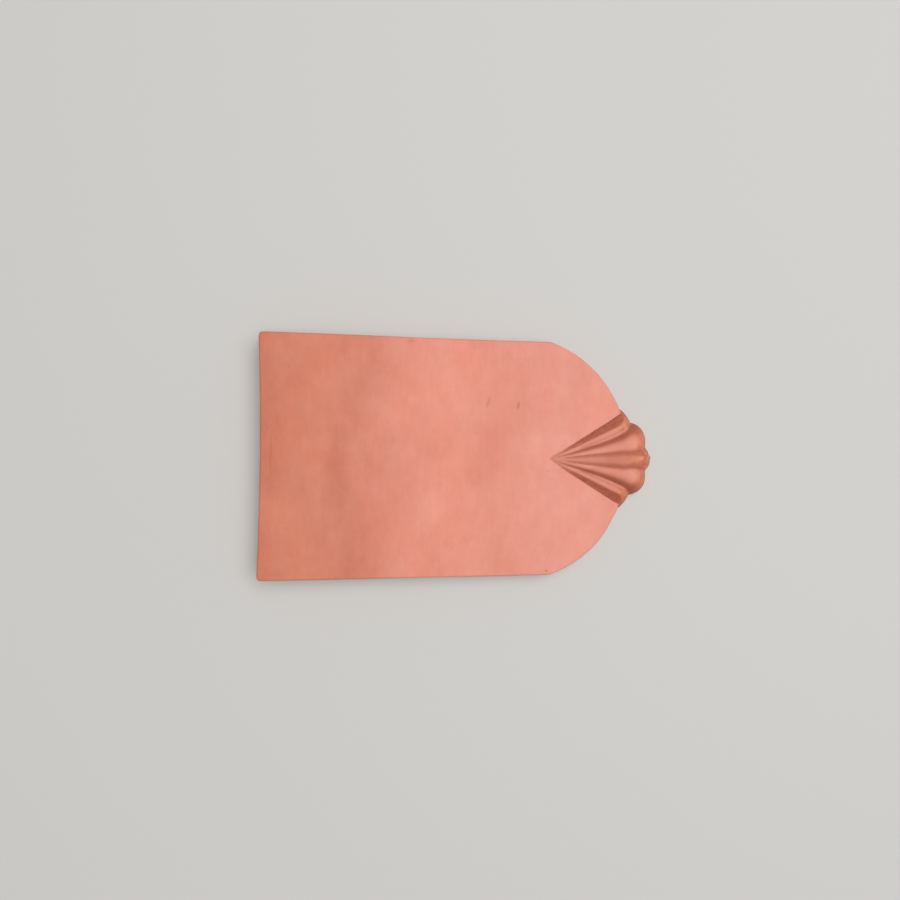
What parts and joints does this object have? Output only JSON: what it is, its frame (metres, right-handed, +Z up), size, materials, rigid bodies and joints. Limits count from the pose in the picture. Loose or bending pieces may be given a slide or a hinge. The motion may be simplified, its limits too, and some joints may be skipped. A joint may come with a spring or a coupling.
{
  "type": "clay roof tile",
  "caption": "Flat fired-clay roof tile with a round tail, a ribbed scallop shell in relief at the tip and a hanging nib under the head.",
  "frame": {"origin": "on the flat underside, below the middle of the tile's length and width", "axes": "+X from the straight head to the shell at the tail, +Y across the tile, +Z up out of the weathered face"},
  "size_m": [0.2536, 0.15, 0.0288],
  "materials": {
    "clay": "matt fired terracotta, unglazed"
  },
  "bodies": {
    "root": {"roof_tile": "clay"}
  },
  "joints": []
}
